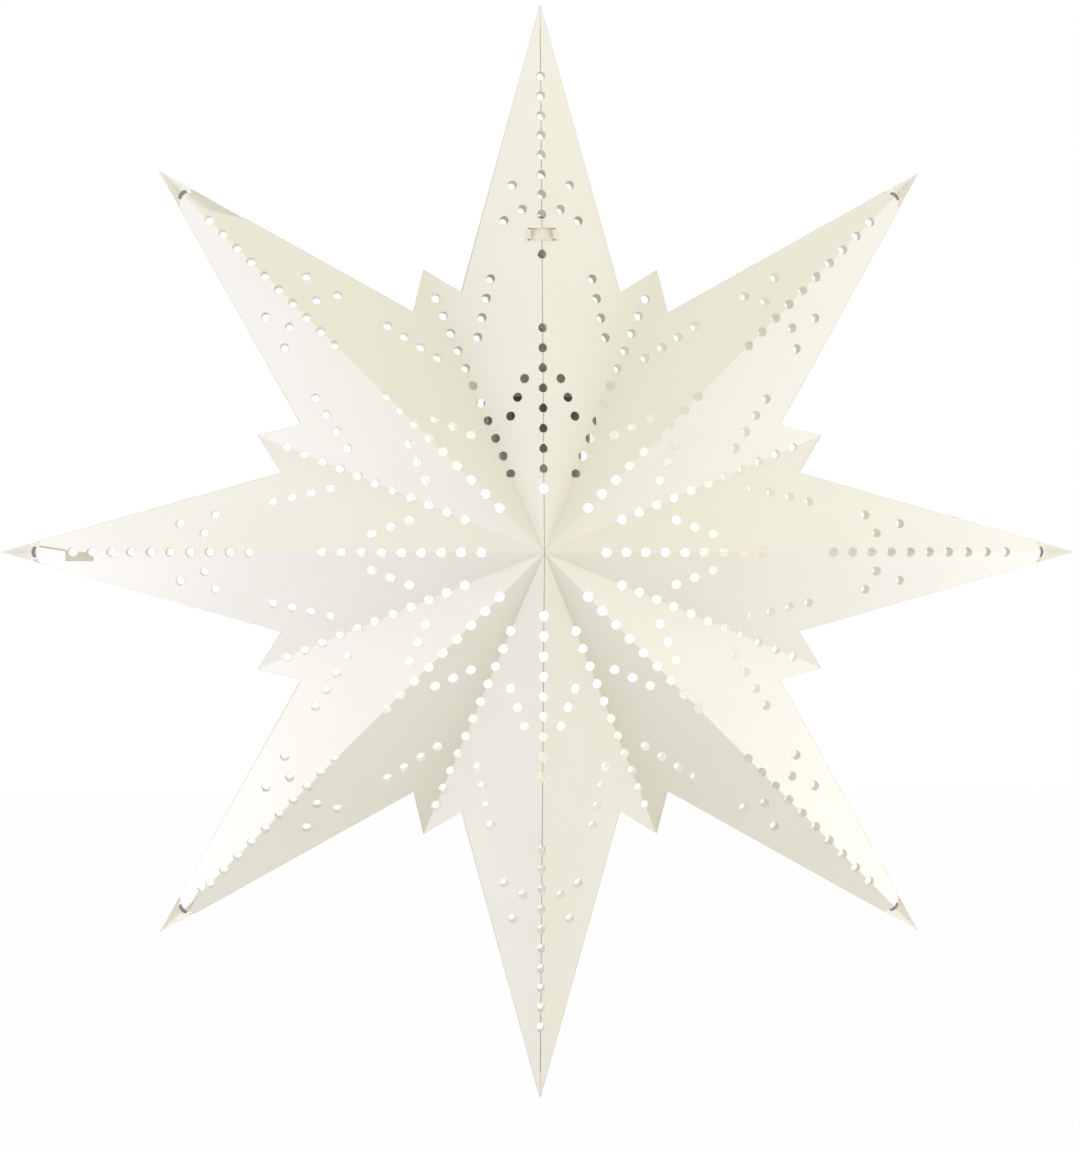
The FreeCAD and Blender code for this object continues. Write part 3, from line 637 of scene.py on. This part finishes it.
grain_size = 0.6 * mm
phenolic, tree, output, place = finish_material("moulded_smoke_grey_phenolic")
grain = add_node(
    tree,
    "ShaderNodeTexNoise",
    values={"Scale": 1 / grain_size, "Detail": 2.0},
    links={"Vector": place},
)
smoke_grey = add_node(
    tree,
    "ShaderNodeMix",
    settings={"data_type": "RGBA"},
    values={"A": linear("#5A5956"), "B": linear("#666561")},
    links={"Factor": grain.outputs["Fac"]},
)
mould_grain = add_node(
    tree,
    "ShaderNodeBump",
    values={"Strength": 0.25, "Distance": 0.05 * mm},
    links={"Height": grain.outputs["Fac"]},
)
holder_plastic = add_node(
    tree,
    "ShaderNodeBsdfPrincipled",
    values={"Roughness": 0.38, "IOR": 1.55},
    links={"Base Color": smoke_grey.outputs["Result"], "Normal": mould_grain.outputs["Normal"]},
)
tree.links.new(holder_plastic.outputs["BSDF"], output.inputs["Surface"])
dress(phenolic, "holder_skirt", "shade_ring")

# The core inside the skirt is fired white ceramic without a glaze, which holds all the brass
# parts. It looks dry and matt, with slight specks and pits.

speck_size = 0.556 * mm
ceramic, tree, output, place = finish_material("fired_white_ceramic")
specks = add_node(
    tree,
    "ShaderNodeTexNoise",
    values={"Scale": 1 / speck_size, "Detail": 3.0},
    links={"Vector": place},
)
dry_white = add_node(
    tree,
    "ShaderNodeMix",
    settings={"data_type": "RGBA"},
    values={"A": linear("#EAE5DA"), "B": linear("#D8D2C4")},
    links={"Factor": specks.outputs["Fac"]},
)
pits = add_node(
    tree,
    "ShaderNodeBump",
    values={"Strength": 0.3, "Distance": 0.04 * mm},
    links={"Height": specks.outputs["Fac"]},
)
fired = add_node(
    tree,
    "ShaderNodeBsdfPrincipled",
    values={"Roughness": 0.65, "IOR": 1.5},
    links={"Base Color": dry_white.outputs["Result"], "Normal": pits.outputs["Normal"]},
)
tree.links.new(fired.outputs["BSDF"], output.inputs["Surface"])
dress(ceramic, "holder_core")

# The thread sleeve, both contacts and the terminals are pressed from bright brass and fixed in
# the core. Drawing and pressing leave fine streaks round them, in deeper and paler yellow.

streak_size = 1.43 * mm
streak_ratio = 12.0
brass, tree, output, place = finish_material("pressed_bright_brass")
drawn = add_node(
    tree,
    "ShaderNodeMapping",
    settings={"vector_type": "POINT"},
    values={"Scale": (1.0, 1.0, streak_ratio)},
    links={"Vector": place},
)
streaks = add_node(
    tree,
    "ShaderNodeTexNoise",
    values={"Scale": 1 / streak_size, "Detail": 3.0},
    links={"Vector": drawn.outputs["Vector"]},
)
yellow = add_node(
    tree,
    "ShaderNodeMix",
    settings={"data_type": "RGBA"},
    values={"A": linear("#E0BD74"), "B": linear("#C69F56")},
    links={"Factor": streaks.outputs["Fac"]},
)
polish = add_node(
    tree,
    "ShaderNodeMapRange",
    values={"To Min": 0.2, "To Max": 0.34},
    links={"Value": streaks.outputs["Fac"]},
)
sheet_brass = add_node(
    tree,
    "ShaderNodeBsdfPrincipled",
    values={"Metallic": 1.0},
    links={"Base Color": yellow.outputs["Result"], "Roughness": polish.outputs["Result"]},
)
tree.links.new(sheet_brass.outputs["BSDF"], output.inputs["Surface"])
dress(brass, "thread_sleeve", "centre_contact", "side_contact", "terminals")

# The bulb's globe is blown glass with an opal coat inside, smooth and milky. It is lit, and its
# cool white light fills the inside of the shade, so that the punched holes glow.

glow = 5.0
swirl_size = 16.7 * mm
opal, tree, output, place = finish_material("opal_glass_lit")
swirl = add_node(
    tree,
    "ShaderNodeTexNoise",
    values={"Scale": 1 / swirl_size, "Detail": 2.0},
    links={"Vector": place},
)
milk = add_node(
    tree,
    "ShaderNodeMix",
    settings={"data_type": "RGBA"},
    values={"A": linear("#FBF8F1"), "B": linear("#F5F0E4")},
    links={"Factor": swirl.outputs["Fac"]},
)
globe = add_node(
    tree,
    "ShaderNodeBsdfPrincipled",
    values={
        "Roughness": 0.12,
        "IOR": 1.5,
        "Emission Color": linear("#E8F0FF"),
        "Emission Strength": glow,
    },
    links={"Base Color": milk.outputs["Result"]},
)
tree.links.new(globe.outputs["BSDF"], output.inputs["Surface"])
dress(opal, "bulb_glass")

# The bulb's screw cap is rolled from thin sheet and nickel plated, and it is cemented on the
# neck of the glass. It is a warm silver, rubbed duller in patches where the thread grips.

rub_size = 2 * mm
nickel, tree, output, place = finish_material("nickel_plated_bulb_cap")
rubs = add_node(
    tree,
    "ShaderNodeTexNoise",
    values={"Scale": 1 / rub_size, "Detail": 4.0},
    links={"Vector": place},
)
silver = add_node(
    tree,
    "ShaderNodeMix",
    settings={"data_type": "RGBA"},
    values={"A": linear("#D2CFC8"), "B": linear("#BBB7AE")},
    links={"Factor": rubs.outputs["Fac"]},
)
rubbed = add_node(
    tree,
    "ShaderNodeMapRange",
    values={"To Min": 0.18, "To Max": 0.32},
    links={"Value": rubs.outputs["Fac"]},
)
cap_metal = add_node(
    tree,
    "ShaderNodeBsdfPrincipled",
    values={"Metallic": 1.0},
    links={"Base Color": silver.outputs["Result"], "Roughness": rubbed.outputs["Result"]},
)
tree.links.new(cap_metal.outputs["BSDF"], output.inputs["Surface"])
dress(nickel, "bulb_screw_cap")

# The insulator is black glass, melted into the end of the screw cap round the tip contact. It
# is glossy and almost even, with faint seeds in the melt.

seed_size = 0.833 * mm
vitrite, tree, output, place = finish_material("black_insulator_glass")
seeds = add_node(
    tree,
    "ShaderNodeTexNoise",
    values={"Scale": 1 / seed_size, "Detail": 2.0},
    links={"Vector": place},
)
ink = add_node(
    tree,
    "ShaderNodeMix",
    settings={"data_type": "RGBA"},
    values={"A": linear("#0B0B0D"), "B": linear("#15141A")},
    links={"Factor": seeds.outputs["Fac"]},
)
black_glass = add_node(
    tree,
    "ShaderNodeBsdfPrincipled",
    values={"Roughness": 0.12, "IOR": 1.52},
    links={"Base Color": ink.outputs["Result"]},
)
tree.links.new(black_glass.outputs["BSDF"], output.inputs["Surface"])
dress(vitrite, "bulb_insulator")

# The tip contact is a dab of solder that closes the wire's hole in the insulator. It is dull
# and lumpy, in two greys.

lump_size = 1.11 * mm
solder, tree, output, place = finish_material("dull_solder")
lumps = add_node(
    tree,
    "ShaderNodeTexNoise",
    values={"Scale": 1 / lump_size, "Detail": 3.0},
    links={"Vector": place},
)
solder_grey = add_node(
    tree,
    "ShaderNodeMix",
    settings={"data_type": "RGBA"},
    values={"A": linear("#B9B9B6"), "B": linear("#979792")},
    links={"Factor": lumps.outputs["Fac"]},
)
uneven = add_node(
    tree,
    "ShaderNodeBump",
    values={"Strength": 0.6, "Distance": 0.15 * mm},
    links={"Height": lumps.outputs["Fac"]},
)
dab = add_node(
    tree,
    "ShaderNodeBsdfPrincipled",
    values={"Metallic": 1.0, "Roughness": 0.42},
    links={"Base Color": solder_grey.outputs["Result"], "Normal": uneven.outputs["Normal"]},
)
tree.links.new(dab.outputs["BSDF"], output.inputs["Surface"])
dress(solder, "bulb_tip_contact")

# The stem is a clear glass tube, melted to the neck inside the globe, that holds the light
# filaments up. Its drawn glass ripples a little.

ripple_size = 3.33 * mm
stem_glass, tree, output, place = finish_material("clear_stem_glass")
ripples = add_node(
    tree,
    "ShaderNodeTexNoise",
    values={"Scale": 1 / ripple_size, "Detail": 2.0},
    links={"Vector": place},
)
rippled = add_node(
    tree,
    "ShaderNodeBump",
    values={"Strength": 0.2, "Distance": 0.1 * mm},
    links={"Height": ripples.outputs["Fac"]},
)
clear = add_node(
    tree,
    "ShaderNodeBsdfPrincipled",
    values={
        "Base Color": linear("#F2F7F6"),
        "Roughness": 0.03,
        "IOR": 1.5,
        "Transmission Weight": 1.0,
    },
    links={"Normal": rippled.outputs["Normal"]},
)
tree.links.new(clear.outputs["BSDF"], output.inputs["Surface"])
dress(stem_glass, "bulb_stem")

# The light filaments are thin sticks of tiny lamps, cast in yellow phosphor and welded to the
# stem's wires. The phosphor is matt, with a fine amber crust.

crust_size = 0.4 * mm
phosphor, tree, output, place = finish_material("yellow_phosphor_filament")
crust = add_node(
    tree,
    "ShaderNodeTexNoise",
    values={"Scale": 1 / crust_size, "Detail": 2.0},
    links={"Vector": place},
)
amber = add_node(
    tree,
    "ShaderNodeMix",
    settings={"data_type": "RGBA"},
    values={"A": linear("#F4CB52"), "B": linear("#E5B23A")},
    links={"Factor": crust.outputs["Fac"]},
)
stick = add_node(
    tree,
    "ShaderNodeBsdfPrincipled",
    values={"Roughness": 0.6, "IOR": 1.45},
    links={"Base Color": amber.outputs["Result"]},
)
tree.links.new(stick.outputs["BSDF"], output.inputs["Surface"])
dress(phosphor, "bulb_filaments")

# The studio is a plain pale floor some way below the hanging lamp. The camera, gloss and glass
# see it white, and the small rest of its face is matt and takes the lamp's shadow.

floor_size = 12.0
floor_drop = 0.45
white_share = 0.985


def direct_view(tree):
    """A socket that is 1 for what the camera, a gloss or a glass sees, and 0 for other light."""
    path = tree.nodes.new("ShaderNodeLightPath").outputs
    seen = add_node(
        tree,
        "ShaderNodeMath",
        settings={"operation": "MAXIMUM"},
        links={0: path["Is Camera Ray"], 1: path["Is Glossy Ray"]},
    )
    seen_through = add_node(
        tree,
        "ShaderNodeMath",
        settings={"operation": "MAXIMUM"},
        links={0: seen.outputs["Value"], 1: path["Is Transmission Ray"]},
    )
    return seen_through.outputs["Value"]


bpy.ops.mesh.primitive_plane_add(size=floor_size, location=(0, 0, -floor_drop))
floor = bpy.context.object
floor.name = "studio_floor"
pale, tree, output, _ = finish_material("pale_studio_floor")
matt = add_node(tree, "ShaderNodeBsdfDiffuse", values={"Color": linear("#BCBCBC")})
white = add_node(
    tree,
    "ShaderNodeEmission",
    values={"Color": linear("#FFFFFF"), "Strength": 1.0},
)
share = add_node(
    tree,
    "ShaderNodeMath",
    settings={"operation": "MULTIPLY"},
    values={1: white_share},
    links={0: direct_view(tree)},
)
ground = add_node(
    tree,
    "ShaderNodeMixShader",
    links={0: share.outputs["Value"], 1: matt.outputs["BSDF"], 2: white.outputs["Emission"]},
)
tree.links.new(ground.outputs["Shader"], output.inputs["Surface"])
floor.data.materials.append(pale)

# The room round the floor is white where it is seen. Its light on the lamp is a plain warm
# grey, given here as the shader's own linear numbers.

room_light = (0.71, 0.705, 0.49, 1.0)
room = bpy.data.worlds.new("pale_room")
bpy.context.scene.world = room
room.use_nodes = True
tree = room.node_tree
tree.nodes.clear()
seen_or_not = add_node(
    tree,
    "ShaderNodeMix",
    settings={"data_type": "RGBA", "clamp_factor": True},
    values={"A": room_light, "B": linear("#FFFFFF")},
    links={"Factor": direct_view(tree)},
)
air = add_node(tree, "ShaderNodeBackground", links={"Color": seen_or_not.outputs["Result"]})
room_output = tree.nodes.new("ShaderNodeOutputWorld")
tree.links.new(air.outputs["Background"], room_output.inputs["Surface"])

# The lamp stands in soft cool light from six boxes: one close to each side, one lower on each
# side, one above and one behind. The boxes don't show in the coat's gloss, so no facet flares.

front_aim = Vector((0.0, -0.02, 0.0))
rear_aim = Vector((0.0, 0.0, 0.0))
front_box_size = 0.35
rear_box_size = 0.9
boxes = [
    ("left_box", (-0.6, -0.17, 0.0), front_aim, front_box_size, 1.38, "#C7CBFF"),
    ("right_box", (0.6, -0.17, 0.0), front_aim, front_box_size, 1.22, "#D2D6FF"),
    ("left_low_box", (-0.8, -0.2, -0.3), front_aim, front_box_size, 3.95, "#E4E4FF"),
    ("right_low_box", (0.8, -0.2, -0.3), front_aim, front_box_size, 3.4, "#F4F1FF"),
    ("top_box", (0.0, -0.25, 0.8), front_aim, front_box_size, 2.35, "#E0E3FF"),
    ("rear_box", (0.2, 1.2, 0.6), rear_aim, rear_box_size, 7.2, "#DADFFF"),
]


def stand_at(thing, spot, aim):
    """Put a light or the camera at a spot and turn it to its aim."""
    thing.location = spot
    thing.rotation_euler = (aim - Vector(spot)).to_track_quat("-Z", "Y").to_euler()
    bpy.context.scene.collection.objects.link(thing)


for name, spot, aim, size, power, tone in boxes:
    light = bpy.data.lights.new(name, "AREA")
    light.size = size
    light.energy = power
    light.color = linear(tone)[:3]
    box = bpy.data.objects.new(name, light)
    box.visible_camera = False
    box.visible_glossy = False
    stand_at(box, spot, aim)

# The camera stands two and a half metres in front of the lamp, a hand's width to its left
# and just above its middle.

camera_lens = 152.9
camera_spot = (-0.113, -2.5, 0.015)
camera_aim = Vector((0.0, 0.0, -0.0123))
camera_data = bpy.data.cameras.new("camera")
camera_data.lens = camera_lens
camera = bpy.data.objects.new("camera", camera_data)
stand_at(camera, camera_spot, camera_aim)
bpy.context.scene.camera = camera
bpy.context.scene.view_settings.view_transform = "Standard"
